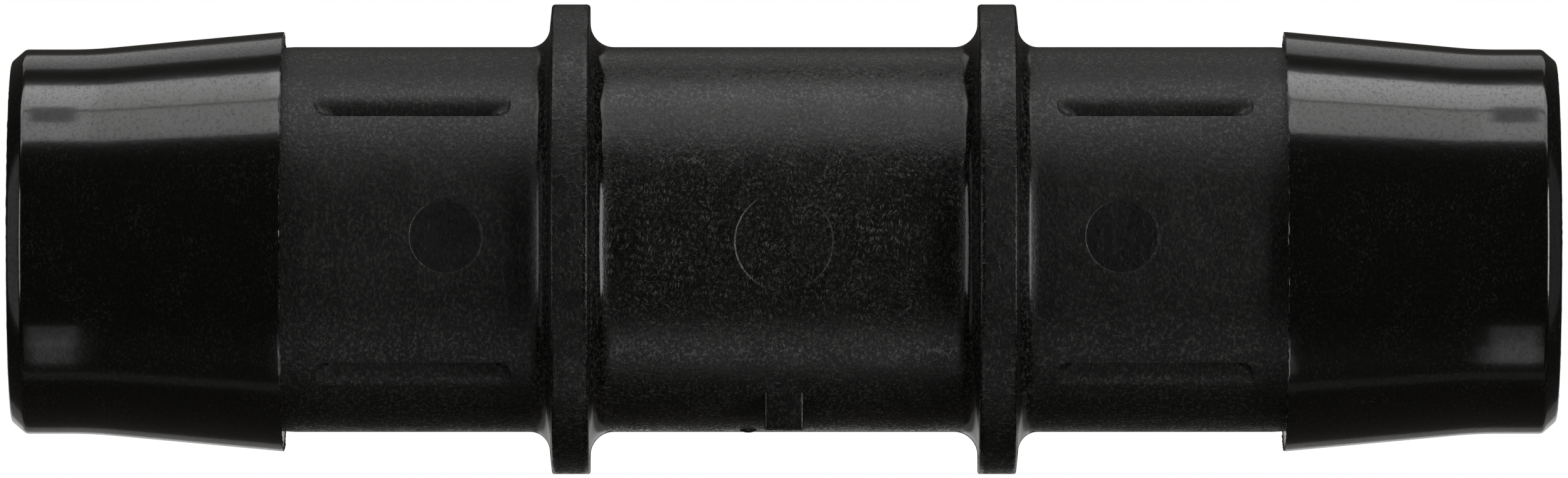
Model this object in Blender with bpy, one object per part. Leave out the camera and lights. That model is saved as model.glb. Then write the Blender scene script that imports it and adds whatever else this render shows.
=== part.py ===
"""Straight double-ended barbed hose coupling, one injection moulding of glass-filled nylon.

The bore runs along X, the gate tab is at the bottom (-Z), and the two mould halves draw apart
along Y. The origin is the middle of the coupling. Lengths are in metres.
"""

import math

import bmesh
import bpy
from mathutils import Vector

MM = 0.001

# Driving dimensions: the tube that the hose's bore fits over, and the overall length.
TUBE_RADIUS = 7.95 * MM
HALF_LENGTH = 32.0 * MM

# Tapered barb at each end.
NOSE_RADIUS = TUBE_RADIUS + 0.015 * MM
NOSE_CHAMFER_LENGTH = 0.60 * MM
NOSE_CHAMFER_DEPTH = 0.52 * MM
NOSE_LAND_LENGTH = 2.70 * MM
BARB_RIM_RADIUS = 8.69 * MM
BARB_LENGTH = 11.23 * MM
BARB_RIM_LAND = 0.08 * MM

# Collars that stop the two hoses.
COLLAR_RADIUS = 9.72 * MM
COLLAR_INNER_FACE = 8.04 * MM
COLLAR_WIDTH = 1.62 * MM
COLLAR_EDGE_RADIUS = 0.13 * MM
INNER_FILLET_RADIUS = 1.0 * MM
OUTER_FILLET_RADIUS = 0.85 * MM

# Through bore, drafted from a parting line at mid-length towards both mouths.
BORE_MID_RADIUS = 5.75 * MM
BORE_MOUTH_RADIUS = 6.0 * MM
BORE_EDGE_CHAMFER = 0.2 * MM

# Notches moulded into the hose seats, four around each, cut along the draw direction. Each has
# a ledge on the side nearer the bore's axis. The floor is upright at the ledge and curves away
# to run out of the tube at the other side.
NOTCH_LENGTH = 8.1 * MM
NOTCH_HEIGHT = 0.95 * MM
NOTCH_INNER_END = 11.25 * MM
NOTCH_CENTRE_HEIGHT = 5.55 * MM
NOTCH_FLOOR_OFFSET = 5.62 * MM
NOTCH_FLOOR_RADIUS = 1.26 * MM

# Square tab where the moulding was gated.
GATE_WIDTH = 1.63 * MM
GATE_FRONT = -4.84 * MM
GATE_BOTTOM = -7.86 * MM
GATE_TOP = -6.2 * MM
GATE_EDGE = 0.12 * MM

# How finely the curves are faceted, and how far a cutter reaches past the surface it cuts.
SEGMENTS = 72
FILLET_STEPS = 4
EDGE_STEPS = 2
NOTCH_END_STEPS = 6
NOTCH_FLOOR_STEPS = 24
GATE_EDGE_STEPS = 2
SMOOTH_ANGLE = math.radians(30.0)
CUTTER_CLEARANCE = 1.0 * MM


def elliptic_arc(start, end, bulge_first, steps):
    """Points from start to end along a quarter ellipse that leaves start along x or along r."""
    points = []
    for step in range(1, steps + 1):
        angle = 0.5 * math.pi * step / steps
        along, across = math.sin(angle), 1.0 - math.cos(angle)
        x_share, r_share = (along, across) if bulge_first == "x" else (across, along)
        points.append((start[0] + (end[0] - start[0]) * x_share,
                       start[1] + (end[1] - start[1]) * r_share))
    return points


def outer_half_profile():
    """(x, radius) points of the outside, from the middle of the coupling to its end at +X."""
    inner, outer = COLLAR_INNER_FACE, COLLAR_INNER_FACE + COLLAR_WIDTH
    edge = COLLAR_EDGE_RADIUS
    shoulder = HALF_LENGTH - BARB_LENGTH
    chamfer_start = HALF_LENGTH - NOSE_CHAMFER_LENGTH

    points = [(inner - INNER_FILLET_RADIUS, TUBE_RADIUS)]
    points += elliptic_arc(points[-1], (inner, TUBE_RADIUS + INNER_FILLET_RADIUS), "x",
                           FILLET_STEPS)
    points.append((inner, COLLAR_RADIUS - edge))
    points += elliptic_arc(points[-1], (inner + edge, COLLAR_RADIUS), "r", EDGE_STEPS)
    points.append((outer - edge, COLLAR_RADIUS))
    points += elliptic_arc(points[-1], (outer, COLLAR_RADIUS - edge), "x", EDGE_STEPS)
    points.append((outer, TUBE_RADIUS + OUTER_FILLET_RADIUS))
    points += elliptic_arc(points[-1], (outer + OUTER_FILLET_RADIUS, TUBE_RADIUS), "r",
                           FILLET_STEPS)
    points.append((shoulder, TUBE_RADIUS))
    points.append((shoulder, BARB_RIM_RADIUS))
    points.append((shoulder + BARB_RIM_LAND, BARB_RIM_RADIUS))
    points.append((chamfer_start - NOSE_LAND_LENGTH, NOSE_RADIUS))
    points.append((chamfer_start, NOSE_RADIUS))
    points.append((HALF_LENGTH, NOSE_RADIUS - NOSE_CHAMFER_DEPTH))
    return points


def bore_half_profile():
    """(x, radius) points of the bore, from its mouth at +X to the parting line at mid-length."""
    return [(HALF_LENGTH, BORE_MOUTH_RADIUS + BORE_EDGE_CHAMFER),
            (HALF_LENGTH - BORE_EDGE_CHAMFER, BORE_MOUTH_RADIUS),
            (0.0, BORE_MID_RADIUS)]


def closed_section():
    """The coupling's whole wall section as a loop of (x, radius) points, symmetric about x = 0."""
    outer, bore = outer_half_profile(), bore_half_profile()
    right = outer + bore
    left = [(-x, radius) for x, radius in reversed(outer + bore[:-1])]
    return right + left


def add_object(name, mesh):
    obj = bpy.data.objects.new(name, mesh)
    bpy.context.scene.collection.objects.link(obj)
    return obj


def make_cutter(obj):
    obj.hide_render = True
    obj.display_type = "WIRE"
    return obj


def turned_body(name, section):
    """Turns a closed wall section about the X axis into a ring-shaped solid."""
    bm = bmesh.new()
    rings = []
    for index in range(SEGMENTS):
        angle = 2.0 * math.pi * index / SEGMENTS
        rings.append([bm.verts.new((x, radius * math.cos(angle), radius * math.sin(angle)))
                      for x, radius in section])
    for index, ring in enumerate(rings):
        following = rings[(index + 1) % SEGMENTS]
        for point in range(len(section)):
            after = (point + 1) % len(section)
            bm.faces.new((ring[point], ring[after], following[after], following[point]))
    bmesh.ops.recalc_face_normals(bm, faces=bm.faces)
    mesh = bpy.data.meshes.new(name)
    bm.to_mesh(mesh)
    bm.free()
    return add_object(name, mesh)


def prism_along(name, outline, direction, start, reach):
    """A solid with a given outline of 3D points, extruded from start to start + reach."""
    bm = bmesh.new()
    base = bm.faces.new([bm.verts.new(Vector(point) + direction * start) for point in outline])
    walls = bmesh.ops.extrude_face_region(bm, geom=[base])
    moved = [item for item in walls["geom"] if isinstance(item, bmesh.types.BMVert)]
    bmesh.ops.translate(bm, verts=moved, vec=direction * reach)
    bmesh.ops.recalc_face_normals(bm, faces=bm.faces)
    mesh = bpy.data.meshes.new(name)
    bm.to_mesh(mesh)
    bm.free()
    return make_cutter(add_object(name, mesh))


def notch_cutter(name, end, draw, level):
    """The space of one notch: a stadium outline in XZ, less the rod that leaves its floor."""
    centre_x = end * (NOTCH_INNER_END + 0.5 * NOTCH_LENGTH)
    centre_z = level * NOTCH_CENTRE_HEIGHT
    end_radius = 0.5 * NOTCH_HEIGHT
    straight = 0.5 * NOTCH_LENGTH - end_radius
    outline = []
    for side in (1, -1):
        for step in range(NOTCH_END_STEPS + 1):
            angle = math.pi * (step / NOTCH_END_STEPS - 0.5)
            outline.append((centre_x + side * (straight + end_radius * math.cos(angle)), 0.0,
                            centre_z + side * end_radius * math.sin(angle)))
    rod_y = draw * (NOTCH_FLOOR_OFFSET - NOTCH_FLOOR_RADIUS)
    ledge_z = centre_z - level * end_radius
    notch = prism_along(name, outline, Vector((0.0, draw, 0.0)), abs(rod_y),
                        TUBE_RADIUS + CUTTER_CLEARANCE - abs(rod_y))

    circle = []
    for step in range(NOTCH_FLOOR_STEPS):
        angle = 2.0 * math.pi * step / NOTCH_FLOOR_STEPS
        circle.append((centre_x, rod_y + NOTCH_FLOOR_RADIUS * math.cos(angle),
                       ledge_z + NOTCH_FLOOR_RADIUS * math.sin(angle)))
    rod_half_length = 0.5 * NOTCH_LENGTH + CUTTER_CLEARANCE
    rod = prism_along(name + "_floor_rod", circle, Vector((1.0, 0.0, 0.0)),
                      -rod_half_length, 2.0 * rod_half_length)
    boolean(notch, rod, "DIFFERENCE")
    return notch


def gate_tab(name):
    """A block with softened long edges that stands out of the tube at the bottom front."""
    bm = bmesh.new()
    bmesh.ops.create_cube(bm, size=1.0)
    bmesh.ops.scale(bm, vec=(GATE_WIDTH, -GATE_FRONT, GATE_TOP - GATE_BOTTOM), verts=bm.verts)
    bmesh.ops.translate(bm, vec=(0.0, 0.5 * GATE_FRONT, 0.5 * (GATE_TOP + GATE_BOTTOM)),
                        verts=bm.verts)
    lowest = min(vert.co.z for vert in bm.verts)
    foremost = min(vert.co.y for vert in bm.verts)
    softened = [edge for edge in bm.edges
                if all(vert.co.z - lowest < GATE_EDGE for vert in edge.verts)
                or all(vert.co.y - foremost < GATE_EDGE for vert in edge.verts)]
    bmesh.ops.bevel(bm, geom=softened, offset=GATE_EDGE, segments=GATE_EDGE_STEPS, profile=0.5,
                    affect="EDGES")
    bmesh.ops.recalc_face_normals(bm, faces=bm.faces)
    mesh = bpy.data.meshes.new(name)
    bm.to_mesh(mesh)
    bm.free()
    return make_cutter(add_object(name, mesh))


def boolean(target, other, operation):
    modifier = target.modifiers.new(other.name, "BOOLEAN")
    modifier.object = other
    modifier.operation = operation
    modifier.solver = "EXACT"


def glass_filled_nylon(name):
    material = bpy.data.materials.new(name)
    material.use_nodes = True
    shader = material.node_tree.nodes["Principled BSDF"]
    shader.inputs["Base Color"].default_value = (0.022, 0.021, 0.020, 1.0)
    shader.inputs["Roughness"].default_value = 0.5
    shader.inputs["Metallic"].default_value = 0.0
    return material


def build_coupling():
    coupling = turned_body("coupling_moulding", closed_section())
    boolean(coupling, gate_tab("gate_tab_shape"), "UNION")
    for end, end_name in ((-1, "left"), (1, "right")):
        for draw, draw_name in ((-1, "front"), (1, "rear")):
            for level, level_name in ((1, "upper"), (-1, "lower")):
                notch = notch_cutter(f"notch_{end_name}_{draw_name}_{level_name}",
                                     end, draw, level)
                boolean(coupling, notch, "DIFFERENCE")
    coupling.data.materials.append(glass_filled_nylon("glass_filled_nylon_black"))
    coupling.data.shade_smooth()
    coupling.data.set_sharp_from_angle(angle=SMOOTH_ANGLE)
    return coupling


for leftover in list(bpy.data.objects):
    bpy.data.objects.remove(leftover)

build_coupling()
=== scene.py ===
import math

import bpy
from mathutils import Matrix, Vector


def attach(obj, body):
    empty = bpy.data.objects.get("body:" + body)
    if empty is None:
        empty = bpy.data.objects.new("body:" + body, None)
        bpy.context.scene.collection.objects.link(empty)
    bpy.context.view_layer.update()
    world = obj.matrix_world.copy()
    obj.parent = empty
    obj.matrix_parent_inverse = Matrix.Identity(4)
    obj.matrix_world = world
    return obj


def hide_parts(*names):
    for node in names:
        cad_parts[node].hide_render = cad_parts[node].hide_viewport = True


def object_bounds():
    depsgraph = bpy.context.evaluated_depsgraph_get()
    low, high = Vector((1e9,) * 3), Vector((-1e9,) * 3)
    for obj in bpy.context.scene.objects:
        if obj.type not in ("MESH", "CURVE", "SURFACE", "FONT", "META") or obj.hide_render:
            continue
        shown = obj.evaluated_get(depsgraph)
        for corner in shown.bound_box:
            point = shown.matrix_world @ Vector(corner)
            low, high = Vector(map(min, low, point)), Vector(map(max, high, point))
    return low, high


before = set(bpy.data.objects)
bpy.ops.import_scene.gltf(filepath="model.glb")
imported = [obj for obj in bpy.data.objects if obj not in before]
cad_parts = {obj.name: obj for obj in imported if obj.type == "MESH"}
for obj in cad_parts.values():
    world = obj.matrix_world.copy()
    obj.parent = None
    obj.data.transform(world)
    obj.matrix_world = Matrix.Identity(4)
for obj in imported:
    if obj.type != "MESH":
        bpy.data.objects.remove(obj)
cad_low, cad_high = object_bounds()
mm = 0.001


# The studio. The coupling lies on its two collars on a pale table in front of a white sweep.
# Broad softboxes overhead and at the two sides, with weaker cards behind and below, light it
# in an otherwise dim room, so the polished barbs show clear bands with black between them.
camera_distance = 884.0 * mm
camera_height = 0.02 * mm
view_width = 65.0 * mm
sensor_width = 36.0

camera_data = bpy.data.cameras.new("camera")
camera_data.sensor_width = sensor_width
camera_data.lens = sensor_width * camera_distance / view_width
camera = bpy.data.objects.new("camera", camera_data)
camera.location = (0.0, -camera_distance, camera_height)
camera.rotation_euler = (math.radians(90.0), 0.0, 0.0)
bpy.context.scene.collection.objects.link(camera)
bpy.context.scene.camera = camera
bpy.context.scene.view_settings.view_transform = "Standard"

light_distance = 1200.0 * mm
card_distance = 150.0 * mm


def softbox(name, heights, sides, radiance, distance=light_distance):
    """A rectangular light that the coupling sees between two heights and two side angles.

    Heights are degrees up from the camera's direction, over the top and down to the back.
    Side angles are degrees towards +X. Radiance is how bright its face is.
    """
    height = math.radians(0.5 * (heights[0] + heights[1]))
    side = math.radians(0.5 * (sides[0] + sides[1]))
    lamp = bpy.data.lights.new(name, "AREA")
    lamp.shape = "RECTANGLE"
    lamp.size = 2.0 * distance * math.tan(math.radians(0.5 * (sides[1] - sides[0])))
    lamp.size_y = 2.0 * distance * math.tan(math.radians(0.5 * (heights[1] - heights[0])))
    lamp.energy = radiance * math.pi * lamp.size * lamp.size_y
    box = bpy.data.objects.new(name, lamp)
    box.matrix_world = (Matrix.Rotation(-height, 4, "X") @ Matrix.Rotation(side, 4, "Z")
                        @ Matrix.Rotation(math.radians(90.0), 4, "X")
                        @ Matrix.Translation((0.0, 0.0, distance)))
    box.visible_camera = False
    bpy.context.scene.collection.objects.link(box)


softbox("softbox_overhead_front", (62.6, 84.5), (-40.0, 40.0), 2.5)
softbox("softbox_overhead_back", (86.0, 108.0), (-40.0, 40.0), 2.7)
softbox("flash_head_front", (63.5, 84.0), (-8.0, 8.0), 0.55)
softbox("flash_head_back", (86.5, 107.0), (-8.0, 12.0), 0.85)
softbox("softbox_rear", (127.0, 150.0), (-22.0, 22.0), 0.50)
softbox("softbox_right", (-25.0, 25.0), (42.0, 64.0), 8.5)
softbox("softbox_left", (-25.0, 25.0), (-64.0, -42.0), 3.6)
softbox("card_right", (-30.0, 30.0), (78.0, 94.0), 0.2)
softbox("card_left", (-30.0, 30.0), (-94.0, -78.0), 0.45)
softbox("card_front_low", (-78.0, -66.0), (-6.0, 6.0), 0.24)
softbox("card_front_low_right", (-78.0, -66.0), (0.0, 8.0), 0.40)
softbox("card_front_level", (-66.0, -52.0), (-6.0, 6.0), 0.5)
softbox("card_lens_low", (-78.0, -60.0), (-2.2, 2.2), 2.0)
softbox("card_under_middle", (-77.5, -60.0), (-4.2, 4.2), 3.6, card_distance)
softbox("card_low", (-91.0, -85.0), (-40.0, 40.0), 0.13)
softbox("card_back_low", (-164.0, -150.0), (-30.0, 30.0), 0.14)
softbox("card_back_level", (-180.0, -164.0), (-30.0, 30.0), 0.5)

# A strap across the overhead softbox shows as a short dark dash on each barb's nose. The strap
# itself glows with painted light, so the dash is dim rather than black.
strap_distance = 1100.0 * mm
strap_height = math.radians(82.2)
strap_size = (205.0 * mm, 235.0 * mm)
bpy.ops.object.select_all(action="DESELECT")
bpy.ops.mesh.primitive_plane_add(
    size=1.0, rotation=(math.radians(90.0) - strap_height, 0.0, 0.0),
    location=(0.0, -strap_distance * math.cos(strap_height),
              strap_distance * math.sin(strap_height)))
strap = bpy.context.object
strap.name = "softbox_strap"
strap.scale = (*strap_size, 1.0)
bpy.ops.object.transform_apply(location=True, rotation=True, scale=True)
strap.visible_camera = False
strap_glowing_cloth = bpy.data.materials.new("strap_glowing_grey_cloth")
strap_glowing_cloth.use_nodes = True
strap_shader = strap_glowing_cloth.node_tree.nodes["Principled BSDF"]
strap_shader.inputs["Base Color"].default_value = (0.05, 0.05, 0.05, 1.0)
strap_shader.inputs["Roughness"].default_value = 0.9
# Painted light: the grey cloth strap glows (emission 0.7) though it is no lamp.
strap_shader.inputs["Emission Color"].default_value = (1.0, 1.0, 1.0, 1.0)
strap_shader.inputs["Emission Strength"].default_value = 0.7
strap.data.materials.append(strap_glowing_cloth)

# The table is a white sheet of light-box acrylic: it glows, and takes only a pale shadow.
table_size = 12000.0 * mm
bpy.ops.mesh.primitive_plane_add(size=table_size, location=(0.0, 0.0, cad_low.z))
table = bpy.context.object
table.name = "table"
bpy.ops.object.transform_apply(location=True, rotation=True, scale=True)
table.visible_glossy = False
table.visible_diffuse = False
table.visible_shadow = False
table_acrylic = bpy.data.materials.new("table_white_acrylic")
table_acrylic.use_nodes = True
table_shader = table_acrylic.node_tree.nodes["Principled BSDF"]
table_shader.inputs["Base Color"].default_value = (0.1, 0.1, 0.1, 1.0)
table_shader.inputs["Roughness"].default_value = 0.9
table_shader.inputs["Specular IOR Level"].default_value = 0.0
table_shader.inputs["Emission Color"].default_value = (1.0, 1.0, 1.0, 1.0)
table_shader.inputs["Emission Strength"].default_value = 0.98
table.data.materials.append(table_acrylic)

# The camera sees the white sweep; the coupling is lit and mirrored by the dim room instead.
room = bpy.data.worlds.new("room")
bpy.context.scene.world = room
room.use_nodes = True
room_nodes, room_links = room.node_tree.nodes, room.node_tree.links
room_nodes.clear()
room_out = room_nodes.new("ShaderNodeOutputWorld")
sweep = room_nodes.new("ShaderNodeBackground")
sweep.inputs["Color"].default_value = (1.0, 1.0, 1.0, 1.0)
dim = room_nodes.new("ShaderNodeBackground")
dim.inputs["Color"].default_value = (0.036, 0.034, 0.030, 1.0)
seen = room_nodes.new("ShaderNodeLightPath")
choose = room_nodes.new("ShaderNodeMixShader")
room_links.new(seen.outputs["Is Camera Ray"], choose.inputs["Fac"])
room_links.new(dim.outputs[0], choose.inputs[1])
room_links.new(sweep.outputs[0], choose.inputs[2])
room_links.new(choose.outputs[0], room_out.inputs["Surface"])


# The moulding: one piece of black glass-filled nylon, turned about the bore. Two polished
# sleeves form the barbs and shut off at their rims, two textured halves form the body between
# them, and a core pin from each end forms the bore.
half_length = cad_high.x
collar_radius = cad_high.z
tube_radius = 7.95 * mm

nose_radius = tube_radius + 0.015 * mm
nose_chamfer = (0.60 * mm, 0.52 * mm)
nose_land = 2.70 * mm
nose_blend = 0.90 * mm
nose_edge = 0.12 * mm
rim_radius = 8.69 * mm
rim_x = half_length - 11.23 * mm
rim_land = 0.06 * mm
flash_length = 0.045 * mm
flash_thickness = 0.035 * mm

collar_inner = 8.04 * mm
collar_outer = collar_inner + 1.64 * mm
collar_draft = 0.08 * mm
collar_edge = 0.13 * mm
inner_fillet = 1.0 * mm
outer_fillet = 0.85 * mm

bore_middle = 5.75 * mm
bore_mouth = 6.0 * mm
bore_edge = 0.2 * mm
core_flash = 0.04 * mm
turns = 240
weld = 0.001 * mm


def straight(start, end, steps):
    """Evenly spaced points after start, up to and including end."""
    return [(start[0] + (end[0] - start[0]) * step / steps,
             start[1] + (end[1] - start[1]) * step / steps) for step in range(1, steps + 1)]


def quarter(start, end, leaves_along_bore, steps):
    """Points after start on a quarter ellipse that leaves along the bore or along the radius."""
    points = []
    for step in range(1, steps + 1):
        angle = 0.5 * math.pi * step / steps
        shares = (math.sin(angle), 1.0 - math.cos(angle))
        x_share, r_share = shares if leaves_along_bore else reversed(shares)
        points.append((start[0] + (end[0] - start[0]) * x_share,
                       start[1] + (end[1] - start[1]) * r_share))
    return points


def eased(before, corner, after, reach, steps):
    """A smooth curve that cuts a corner, from reach before it to reach after it."""
    corner = Vector(corner)
    leave = corner + (Vector(before) - corner).normalized() * reach
    arrive = corner + (Vector(after) - corner).normalized() * reach
    return [tuple(leave * (1 - t) ** 2 + corner * 2 * t * (1 - t) + arrive * t ** 2)
            for t in (step / steps for step in range(steps + 1))]


section = [(0.0, tube_radius)]
section += straight(section[-1], (collar_inner - inner_fillet, tube_radius), 10)
section += quarter(section[-1], (collar_inner, tube_radius + inner_fillet), True, 12)
section += straight(section[-1], (collar_inner, collar_radius - collar_edge), 3)
section += quarter(section[-1], (collar_inner + collar_edge, collar_radius), False, 5)
section += straight(section[-1], (collar_outer - collar_draft - collar_edge, collar_radius), 3)
section += quarter(section[-1], (collar_outer - collar_draft, collar_radius - collar_edge),
                   True, 5)
section += straight(section[-1], (collar_outer, tube_radius + outer_fillet), 3)
section += quarter(section[-1], (collar_outer + outer_fillet, tube_radius), False, 12)
section += straight(section[-1], (rim_x, tube_radius), 18)
section += straight(section[-1], (rim_x, rim_radius - flash_thickness), 4)
section += [(rim_x - flash_length, rim_radius - 0.6 * flash_thickness),
            (rim_x - flash_length, rim_radius - 0.2 * flash_thickness),
            (rim_x, rim_radius), (rim_x + rim_land, rim_radius)]
land_start = (half_length - nose_chamfer[0] - nose_land, nose_radius)
chamfer_start = (half_length - nose_chamfer[0], nose_radius)
nose_tip = (half_length, nose_radius - nose_chamfer[1])
for curve, steps in ((eased(section[-1], land_start, chamfer_start, nose_blend, 8), 12),
                     (eased(land_start, chamfer_start, nose_tip, nose_edge, 5), 3),
                     (eased(chamfer_start, nose_tip, (half_length, 0.0), nose_edge, 4), 2),
                     (eased(nose_tip, (half_length, bore_mouth), (0.0, bore_middle),
                            bore_edge, 5), 4)):
    section += straight(section[-1], curve[0], steps) + curve[1:]
section += straight(section[-1], (0.1 * mm, bore_middle), 16)
section += [(0.03 * mm, bore_middle - core_flash), (0.0, bore_middle - core_flash)]

bpy.ops.object.select_all(action="DESELECT")
bpy.ops.mesh.primitive_plane_add(size=mm, location=(section[0][0], 0.0, section[0][1]))
coupling = bpy.context.object
coupling.name = "coupling_moulding_surface"
bpy.ops.object.transform_apply(location=True, rotation=True, scale=True)
bpy.ops.object.mode_set(mode="EDIT")
bpy.ops.mesh.select_mode(type="VERT")
bpy.ops.mesh.select_all(action="SELECT")
bpy.ops.mesh.merge(type="CENTER")
for before, after in zip(section, section[1:]):
    bpy.ops.mesh.extrude_region_move(TRANSFORM_OT_translate={
        "value": (after[0] - before[0], 0.0, after[1] - before[1])})
bpy.ops.mesh.select_all(action="SELECT")
bpy.ops.mesh.spin(steps=turns, angle=2.0 * math.pi, center=(0.0, 0.0, 0.0), axis=(1.0, 0.0, 0.0))
bpy.ops.mesh.select_all(action="SELECT")
bpy.ops.mesh.remove_doubles(threshold=weld)
bpy.ops.object.mode_set(mode="OBJECT")

mirror = coupling.modifiers.new("other_end", "MIRROR")
mirror.use_axis = (True, False, False)
mirror.use_mirror_merge = True
mirror.merge_threshold = weld
bpy.ops.object.modifier_apply(modifier=mirror.name)


def select_points(piece, wanted):
    """Puts a piece in edit mode with only the points selected for which wanted is true."""
    bpy.ops.object.select_all(action="DESELECT")
    bpy.context.view_layer.objects.active = piece
    piece.select_set(True)
    bpy.ops.object.mode_set(mode="EDIT")
    bpy.ops.mesh.select_mode(type="VERT")
    bpy.ops.mesh.select_all(action="DESELECT")
    bpy.ops.object.mode_set(mode="OBJECT")
    for point in piece.data.vertices:
        point.select = wanted(point.co)
    bpy.ops.object.mode_set(mode="EDIT")


# The shut-off lips and the end faces' outer edges are left a little ragged by the mould.
lip_raggedness = 0.045 * mm
end_raggedness = 0.02 * mm
select_points(coupling, lambda p: abs(abs(p.x) - rim_x + flash_length) < weld)
bpy.ops.transform.vertex_random(offset=lip_raggedness, seed=4)
bpy.ops.object.mode_set(mode="OBJECT")
select_points(coupling, lambda p: abs(p.x) > half_length - weld
              and Vector((p.y, p.z)).length > nose_tip[1] - nose_edge - weld)
bpy.ops.transform.vertex_random(offset=end_raggedness, seed=9)
bpy.ops.mesh.select_all(action="SELECT")
bpy.ops.mesh.normals_make_consistent(inside=False)
bpy.ops.object.mode_set(mode="OBJECT")

# The sleeves that form the barbs sit a little low of the two halves that form the body.
sleeve_drop = 0.09 * mm
select_points(coupling, lambda p: abs(p.x) > rim_x - 2.5 * flash_length
              and Vector((p.y, p.z)).length > 0.5 * (tube_radius + bore_mouth)
              and (abs(p.x) > rim_x + weld or Vector((p.y, p.z)).length > rim_radius - 0.2 * mm))
bpy.ops.transform.translate(value=(0.0, 0.0, -sleeve_drop))
bpy.ops.object.mode_set(mode="OBJECT")

# The parting line runs along the top and bottom of the body, over the collars, from rim to rim.
parting_width = 0.045 * mm
parting_height = 0.025 * mm


def on_parting_line(p):
    return (abs(p.y) < weld and abs(p.z) > tube_radius - weld
            and abs(p.x) < rim_x - flash_length - weld)


select_points(coupling, on_parting_line)
bpy.ops.mesh.bevel(offset=parting_width, offset_type="OFFSET", segments=2, affect="EDGES")
bpy.ops.object.mode_set(mode="OBJECT")
select_points(coupling, on_parting_line)
bpy.ops.transform.shrink_fatten(value=parting_height)
bpy.ops.object.mode_set(mode="OBJECT")


# The notches: eight shallow pockets with round ends along the hose seats, four at each end, left
# by bars in the mould. A ledge runs along the side nearer the bore's axis, and from it the floor
# starts upright and curves back until it runs out of the tube at the other side.
notch_length = 8.1 * mm
notch_height = 0.95 * mm
notch_inner_end = 11.25 * mm
notch_centre_height = 5.55 * mm
notch_floor = 5.62 * mm
notch_floor_radius = 1.26 * mm
notch_end_ease = 0.42 * mm
notch_cuts = 0.07 * mm
notch_end_cuts = 14
notch_side_cuts = 6
tool_reach = tube_radius + mm


def pocket_tool(side, skin):
    """Makes the active flat outline into a solid that presses a pocket into the tube.

    skin gives the distance of the pocket's surface from the upright plane through the bore.
    """
    tool = bpy.context.object
    bpy.ops.object.mode_set(mode="EDIT")
    bpy.ops.mesh.select_all(action="SELECT")
    bpy.ops.mesh.extrude_region_move(TRANSFORM_OT_translate={"value": (0.0, side * mm, 0.0)})
    bpy.ops.object.mode_set(mode="OBJECT")
    for point in tool.data.vertices:
        flat = abs(point.co.y) > 0.5 * mm
        point.co.y = side * (tool_reach if flat else skin(point.co.x, point.co.z))
    bpy.ops.object.mode_set(mode="EDIT")
    bpy.ops.mesh.select_all(action="SELECT")
    bpy.ops.mesh.normals_make_consistent(inside=False)
    bpy.ops.object.mode_set(mode="OBJECT")
    return tool


def notch_skin(x, z):
    """The floor's distance, eased up to the tube's own surface round the two ends."""
    past_ledge = abs(z) - notch_centre_height + 0.5 * notch_height
    floor = (notch_floor - notch_floor_radius
             + math.sqrt(notch_floor_radius ** 2 - past_ledge ** 2))
    tube = math.sqrt(tube_radius ** 2 - z ** 2)
    past_straight = abs(abs(x) - notch_inner_end - 0.5 * notch_length) \
        - 0.5 * (notch_length - notch_height)
    from_edge = 0.5 * notch_height - math.hypot(max(0.0, past_straight),
                                                abs(z) - notch_centre_height)
    share = min(1.0, max(0.0, (from_edge - min(0.0, past_straight)) / notch_end_ease))
    return floor + (tube - floor) * (1.0 - math.sqrt(1.0 - (1.0 - share) ** 2))


cutters = []
for end in (-1, 1):
    for side in (-1, 1):
        for level in (-1, 1):
            centre = Vector((end * (notch_inner_end + 0.5 * notch_length), 0.0,
                             level * notch_centre_height))
            bpy.ops.object.select_all(action="DESELECT")
            bpy.ops.mesh.primitive_plane_add(size=1.0, location=centre,
                                             rotation=(math.radians(90.0), 0.0, 0.0))
            bpy.context.object.scale = (notch_length, notch_height, 1.0)
            bpy.ops.object.transform_apply(location=True, rotation=True, scale=True)
            bpy.ops.object.mode_set(mode="EDIT")
            bpy.ops.mesh.select_all(action="SELECT")
            bpy.ops.mesh.bevel(offset=0.499 * notch_height, segments=12, affect="VERTICES")
            end_cuts = [(step + 0.5) * notch_cuts for step in range(notch_end_cuts)]
            for across in ([-0.5 * notch_length + cut for cut in end_cuts]
                           + [0.5 * notch_length - cut for cut in end_cuts]):
                bpy.ops.mesh.select_all(action="SELECT")
                bpy.ops.mesh.bisect(plane_co=centre + Vector((across, 0.0, 0.0)),
                                    plane_no=(1.0, 0.0, 0.0))
            for step in range(-notch_side_cuts, notch_side_cuts + 1):
                bpy.ops.mesh.select_all(action="SELECT")
                bpy.ops.mesh.bisect(plane_co=centre + Vector((0.0, 0.0, step * notch_cuts)),
                                    plane_no=(0.0, 0.0, 1.0))
            bpy.ops.object.mode_set(mode="OBJECT")
            cutters.append(pocket_tool(side, notch_skin))


# Ejector pin marks: three round faces on the front half, pressed a few hundredths of a
# millimetre into the nylon by pins that push the moulding out of its cavity.
pin_depth = 0.04 * mm
pin_wall = 0.10 * mm
pin_wall_rings = 6
small_pin_x = 13.9 * mm
small_pin_z = 0.13 * mm
small_pin_radius = 1.5 * mm
pin_marks = ((0.0, -0.08 * mm, 2.03 * mm), (-small_pin_x, small_pin_z, small_pin_radius),
             (small_pin_x, small_pin_z, small_pin_radius))

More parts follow.
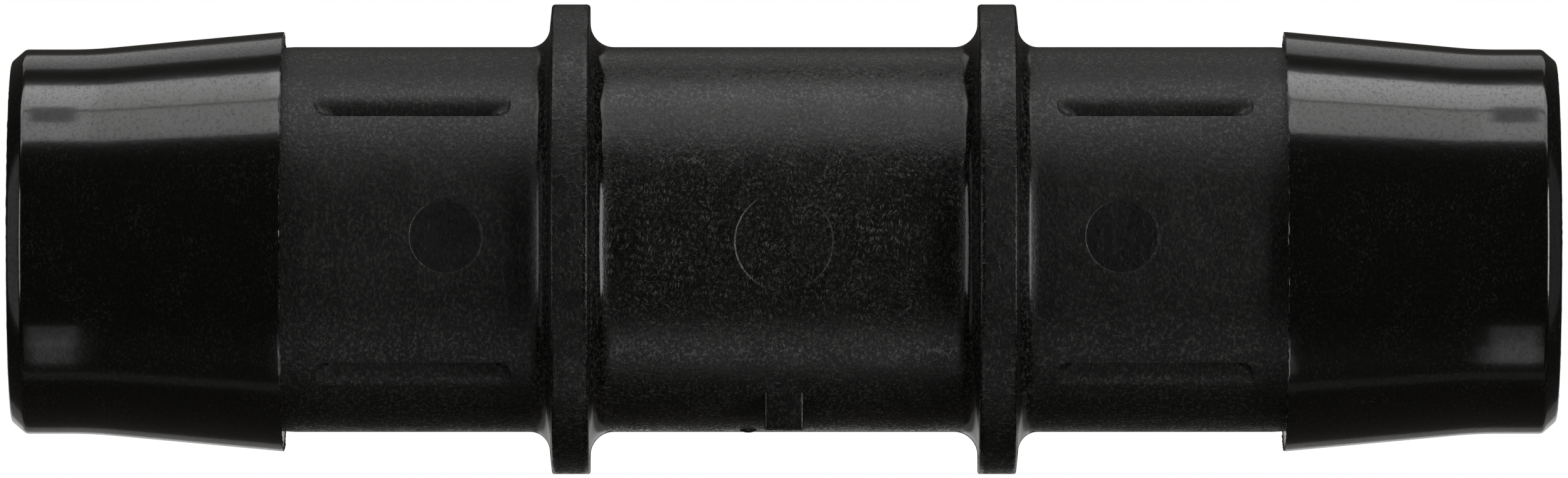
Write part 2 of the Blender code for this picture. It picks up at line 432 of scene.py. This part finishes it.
for pin_x, pin_z, pin_radius in pin_marks:
    bpy.ops.object.select_all(action="DESELECT")
    bpy.ops.mesh.primitive_circle_add(vertices=120, radius=pin_radius + pin_wall,
                                      fill_type="NGON", location=(pin_x, 0.0, pin_z),
                                      rotation=(math.radians(90.0), 0.0, 0.0))
    bpy.ops.object.transform_apply(location=True, rotation=True, scale=True)
    bpy.ops.object.mode_set(mode="EDIT")
    for ring in range(pin_wall_rings + 2):
        bpy.ops.mesh.select_all(action="DESELECT")
        bpy.ops.object.mode_set(mode="OBJECT")
        face_centres = [(face.center - Vector((pin_x, 0.0, pin_z))).length
                        for face in bpy.context.object.data.polygons]
        innermost = face_centres.index(min(face_centres))
        bpy.context.object.data.polygons[innermost].select = True
        bpy.ops.object.mode_set(mode="EDIT")
        bpy.ops.mesh.select_mode(type="FACE")
        bpy.ops.mesh.inset(thickness=pin_wall / 3.0 if ring < pin_wall_rings else 0.3 * pin_radius)
    bpy.ops.object.mode_set(mode="OBJECT")

    def pin_skin(x, z):
        """A disc sunk below the tube's surface, with a sloping wall round it."""
        past_edge = math.hypot(x - pin_x, z - pin_z) - pin_radius
        sunk = min(1.0, max(0.0, 0.5 - past_edge / pin_wall))
        depth = pin_depth * (1.25 * sunk * sunk * (3.0 - 2.0 * sunk) - 0.25)
        return math.sqrt((tube_radius - depth) ** 2 - z ** 2)

    cutters.append(pocket_tool(-1, pin_skin))

bpy.ops.object.select_all(action="DESELECT")
for cutter in cutters:
    cutter.select_set(True)
bpy.context.view_layer.objects.active = cutters[0]
bpy.ops.object.join()
pockets = bpy.context.object
bpy.ops.object.select_all(action="DESELECT")
bpy.context.view_layer.objects.active = coupling
coupling.select_set(True)
cut = coupling.modifiers.new("pockets", "BOOLEAN")
cut.operation = "DIFFERENCE"
cut.solver = "MANIFOLD"
cut.object = pockets
bpy.ops.object.modifier_apply(modifier=cut.name)
bpy.data.objects.remove(pockets)


# The gate tab: the square end of the runner, under the middle, where the nylon flowed in.
# It was trimmed with a flat cutter, which left a small burr beside it. Both are part of the
# moulding, so they are joined to it.
gate_width = 1.63 * mm
gate_front = 4.84 * mm
gate_back = 0.3 * mm
gate_bottom = -7.86 * mm
gate_top = -6.2 * mm
gate_edge = 0.12 * mm
burr_place = (-1.48 * mm, -0.9 * mm, -7.8 * mm)
burr_size = (0.42 * mm, 0.25 * mm, 0.2 * mm)

bpy.ops.object.select_all(action="DESELECT")
bpy.ops.mesh.primitive_cube_add(size=1.0, location=(0.0, -0.5 * (gate_front + gate_back),
                                                    0.5 * (gate_top + gate_bottom)))
tab = bpy.context.object
tab.scale = (gate_width, gate_front - gate_back, gate_top - gate_bottom)
bpy.ops.object.transform_apply(location=True, rotation=True, scale=True)
bpy.ops.object.mode_set(mode="EDIT")
bpy.ops.mesh.select_all(action="SELECT")
bpy.ops.mesh.bevel(offset=gate_edge, segments=4, affect="EDGES")
bpy.ops.object.mode_set(mode="OBJECT")

bpy.ops.object.select_all(action="DESELECT")
bpy.ops.mesh.primitive_uv_sphere_add(segments=24, ring_count=12, radius=1.0,
                                     location=burr_place)
burr = bpy.context.object
burr.scale = burr_size
bpy.ops.object.transform_apply(location=True, rotation=True, scale=True)

for addition in (tab, burr):
    bpy.ops.object.select_all(action="DESELECT")
    bpy.context.view_layer.objects.active = coupling
    coupling.select_set(True)
    join = coupling.modifiers.new("gate", "BOOLEAN")
    join.operation = "UNION"
    join.solver = "MANIFOLD"
    join.object = addition
    bpy.ops.object.modifier_apply(modifier=join.name)
    bpy.data.objects.remove(addition)

# The turned curves are shaded smooth; rims, ledges and chamfers keep their edges.
smooth_angle = math.radians(28.0)
bpy.ops.object.shade_smooth_by_angle(angle=smooth_angle)


# The nylon: polished on the barbs, finely textured on the hose seats and collars, and worn
# smoother on the middle, where pale glass fibres lie just under the skin.
nylon = bpy.data.materials.new("glass_filled_nylon")
nylon.use_nodes = True
shader = nylon.node_tree.nodes["Principled BSDF"]


class Field:
    """A value that varies over the nylon; arithmetic on it adds shader nodes."""

    tree = nylon.node_tree

    def __init__(self, socket):
        self.socket = socket

    @classmethod
    def node(cls, kind, settings, sockets, output=0):
        """Adds a node: its settings first, then the values or links of its sockets."""
        made = cls.tree.nodes.new(kind)
        for name, setting in settings.items():
            setattr(made, name, setting)
        for name, value in sockets.items():
            if isinstance(value, Field):
                cls.tree.links.new(value.socket, made.inputs[name])
            else:
                made.inputs[name].default_value = value
        return cls(made.outputs[output])

    @classmethod
    def maths(cls, operation, *values):
        return cls.node("ShaderNodeMath", {"operation": operation}, dict(enumerate(values)))

    def __add__(self, other):
        return self.maths("ADD", self, other)

    __radd__ = __add__

    def __sub__(self, other):
        return self.maths("SUBTRACT", self, other)

    def __rsub__(self, other):
        return self.maths("SUBTRACT", other, self)

    def __mul__(self, other):
        return self.maths("MULTIPLY", self, other)

    __rmul__ = __mul__

    def rise(self, low, high):
        """0 below low and 1 above high, with a smooth step between them."""
        return self.node("ShaderNodeMapRange", {"interpolation_type": "SMOOTHSTEP"},
                         {"Value": self, "From Min": low, "From Max": high})


place = Field.node("ShaderNodeTexCoord", {}, {}, "Object")
place_mm = Field.node("ShaderNodeVectorMath", {"operation": "SCALE"},
                      {"Vector": place, "Scale": 1000.0})
along = Field.node("ShaderNodeSeparateXYZ", {}, {"Vector": place_mm}, "X")
back = Field.node("ShaderNodeSeparateXYZ", {}, {"Vector": place_mm}, "Y")
up = Field.node("ShaderNodeSeparateXYZ", {}, {"Vector": place_mm}, "Z")
radius = Field.maths("SQRT", back * back + up * up)
from_middle = Field.maths("ABSOLUTE", along)
around = Field.maths("ARCTAN2", back, up) * (tube_radius / mm)

# Lumps in the skin lie round the tube: closer together along the bore than across it.
lie_mm = Field.node("ShaderNodeVectorMath", {"operation": "MULTIPLY"},
                    {0: place_mm, 1: (1.5, 1.0, 1.0)})


def cloud(scale, detail=2.0, roughness=0.5, where=place_mm):
    """Noise with a number of lumps for each millimetre."""
    return Field.node("ShaderNodeTexNoise", {}, {"Vector": where, "Scale": scale,
                                                 "Detail": detail, "Roughness": roughness})


# The zones, each 1 inside and 0 outside, with their limits in millimetres. The mould's own
# polish makes them: the collars' feet and edges are glossier than the seats, and the two small
# pins' faces are bumpier and darker.
tube = tube_radius / mm
fillet_start = (collar_inner - inner_fillet) / mm
collar_centre = 0.5 * (collar_inner + collar_outer) / mm
outside = radius.rise(6.4, 6.7)
barb = from_middle.rise(rim_x / mm - 0.01, rim_x / mm + 0.01) * outside
middle = (1 - from_middle.rise(collar_inner / mm - 0.4, collar_inner / mm)) * outside
matte = 1 - barb
proud = radius.rise(tube + 0.03, tube + 0.11)
fillet = (proud * (1 - radius.rise(tube + 0.95, tube + 1.15))
          * from_middle.rise(fillet_start - 0.14, fillet_start - 0.04) * matte)
crown = radius.rise(collar_radius / mm - 0.37, collar_radius / mm - 0.22)
crown_edge = crown * Field.maths("ABSOLUTE", from_middle - collar_centre).rise(0.55, 0.66)
past_pin_x = from_middle - small_pin_x / mm
past_pin_z = up - small_pin_z / mm
small_pin = (1 - Field.maths("SQRT", past_pin_x * past_pin_x + past_pin_z * past_pin_z).rise(
    small_pin_radius / mm - 0.08, small_pin_radius / mm)) * (0 - back).rise(4.0, 5.0)

# Fibres: short pale strokes that lie at a few angles, bent a little, in clumps.
bend = 0.9
wander = Field.node("ShaderNodeTexNoise", {}, {"Vector": place_mm, "Scale": 0.9, "Detail": 3.0},
                    "Color")
wander_x = Field.node("ShaderNodeSeparateXYZ", {}, {"Vector": wander}, "X")
wander_y = Field.node("ShaderNodeSeparateXYZ", {}, {"Vector": wander}, "Y")
lay_x = along + radius * 0.6 + (wander_x - 0.5) * bend
lay_y = around + (wander_y - 0.5) * bend


def strokes(lay, length, width, shift):
    """Short strokes, unlike in strength, at one angle in degrees from the bore's direction."""
    cosine, sine = math.cos(math.radians(lay)), math.sin(math.radians(lay))
    spot = Field.node("ShaderNodeCombineXYZ", {}, {
        "X": (lay_x * cosine + lay_y * sine) * (1.0 / length) + shift,
        "Y": (lay_y * cosine - lay_x * sine) * (1.0 / width) + shift})
    cells = {"Vector": spot, "Scale": 1.0}
    distance = Field.node("ShaderNodeTexVoronoi", {"voronoi_dimensions": "2D"}, cells, "Distance")
    tint = Field.node("ShaderNodeTexVoronoi", {"voronoi_dimensions": "2D"}, cells, "Color")
    strength = Field.node("ShaderNodeSeparateXYZ", {}, {"Vector": tint}, "X")
    return (1 - distance.rise(0.06, 0.40)) * strength.rise(0.35, 0.95)


fibres = (strokes(84.0, 0.34, 0.070, 3.7) * (0.35 + cloud(0.8).rise(0.40, 0.62))
          + strokes(38.0, 0.30, 0.065, 11.3) * (0.25 + cloud(0.7).rise(0.45, 0.66))
          + strokes(-30.0, 0.30, 0.065, 23.9) * (0.25 + cloud(0.6).rise(0.42, 0.64)))

# The skin: grain stands up, mottle and flecks are paler, specks are dust, patches are whole
# areas worn alike, scuffs mark the collars' rims, and peel and stipple are the slight waviness
# of the barbs.
grain = cloud(5.5, 4.0, 0.68, lie_mm)
mottle = cloud(5.0, 3.0, 0.8, lie_mm).rise(0.495, 0.62)
flecks = cloud(6.5, 3.0, 0.8, lie_mm).rise(0.53, 0.64)
specks = cloud(9.0, 1.0).rise(0.60, 0.76)
patches = cloud(0.5, 3.0).rise(0.42, 0.62)
scuffs = cloud(1.2, 4.0, 0.7).rise(0.50, 0.58) * crown
peel = cloud(1.8, 1.0)
stipple = cloud(9.0, 2.0)

# Roughness: the seats' own, less what polish takes off the other zones.
seat_roughness = 0.41
roughness = (seat_roughness - 0.23 * barb - 0.10 * middle - 0.21 * fillet - 0.20 * crown_edge
             + 0.06 * (patches - 0.5) * matte
             + (0.20 - mottle) * (matte - fillet) * (0.20 + 0.22 * middle))

# Colour: a warm black, paler where fibres and flecks reach the skin.
black_tint = (1.0, 0.97, 0.92)
barb_tone = 0.0013
darkest_tone = 0.0004
mottle_tone = 0.0190
middle_mottle_tone = 0.0070
pale_tone = 0.056
pin_dark = 1 - 0.8 * small_pin
pale = Field.maths("MINIMUM", fibres * (0.04 + 0.40 * middle) * matte * (1 - proud)
                   + flecks * (0.14 + 0.20 * middle) * matte + specks * 0.06
                   + flecks * barb * (0.05 + 0.10 * patches), 1.0) * pin_dark
mottled = mottle * (mottle_tone - (mottle_tone - middle_mottle_tone) * middle)
tone = (matte * (darkest_tone + mottled) * (1 - 0.7 * scuffs) * pin_dark
        + barb * barb_tone + pale * pale_tone)
colour = Field.node("ShaderNodeVectorMath", {"operation": "SCALE"},
                    {"Vector": black_tint, "Scale": tone})

# Relief, in millimetres.
grain_height = 0.026
middle_grain_height = 0.016
fibre_height = 0.005
scuff_height = 0.012
pin_face_height = 0.045
peel_height = 0.005
stipple_height = 0.0022
grained = grain * (matte - 0.85 * fillet)
height = (grained * (grain_height - (grain_height - middle_grain_height) * middle)
          + fibres * fibre_height * middle * (1 - proud)
          + scuffs * scuff_height + small_pin * cloud(3.0, 2.0) * pin_face_height
          + (peel * peel_height + stipple * stipple_height) * barb)
normal = Field.node("ShaderNodeBump", {}, {"Height": height, "Strength": 1.0, "Distance": mm})

# The gloss on the barbs is the polished skin of the nylon itself, thinner where it is dusty.
gloss = barb * (1 - 0.5 * specks - 0.45 * mottle)
for field, socket in ((colour, "Base Color"), (roughness, "Roughness"),
                      (gloss, "Coat Weight"), (normal, "Normal")):
    Field.tree.links.new(field.socket, shader.inputs[socket])
shader.inputs["Specular IOR Level"].default_value = 0.25
shader.inputs["Coat IOR"].default_value = 1.36
shader.inputs["Coat Roughness"].default_value = 0.09
coupling.data.materials.clear()
coupling.data.materials.append(nylon)

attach(coupling, "root")
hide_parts("coupling_moulding")
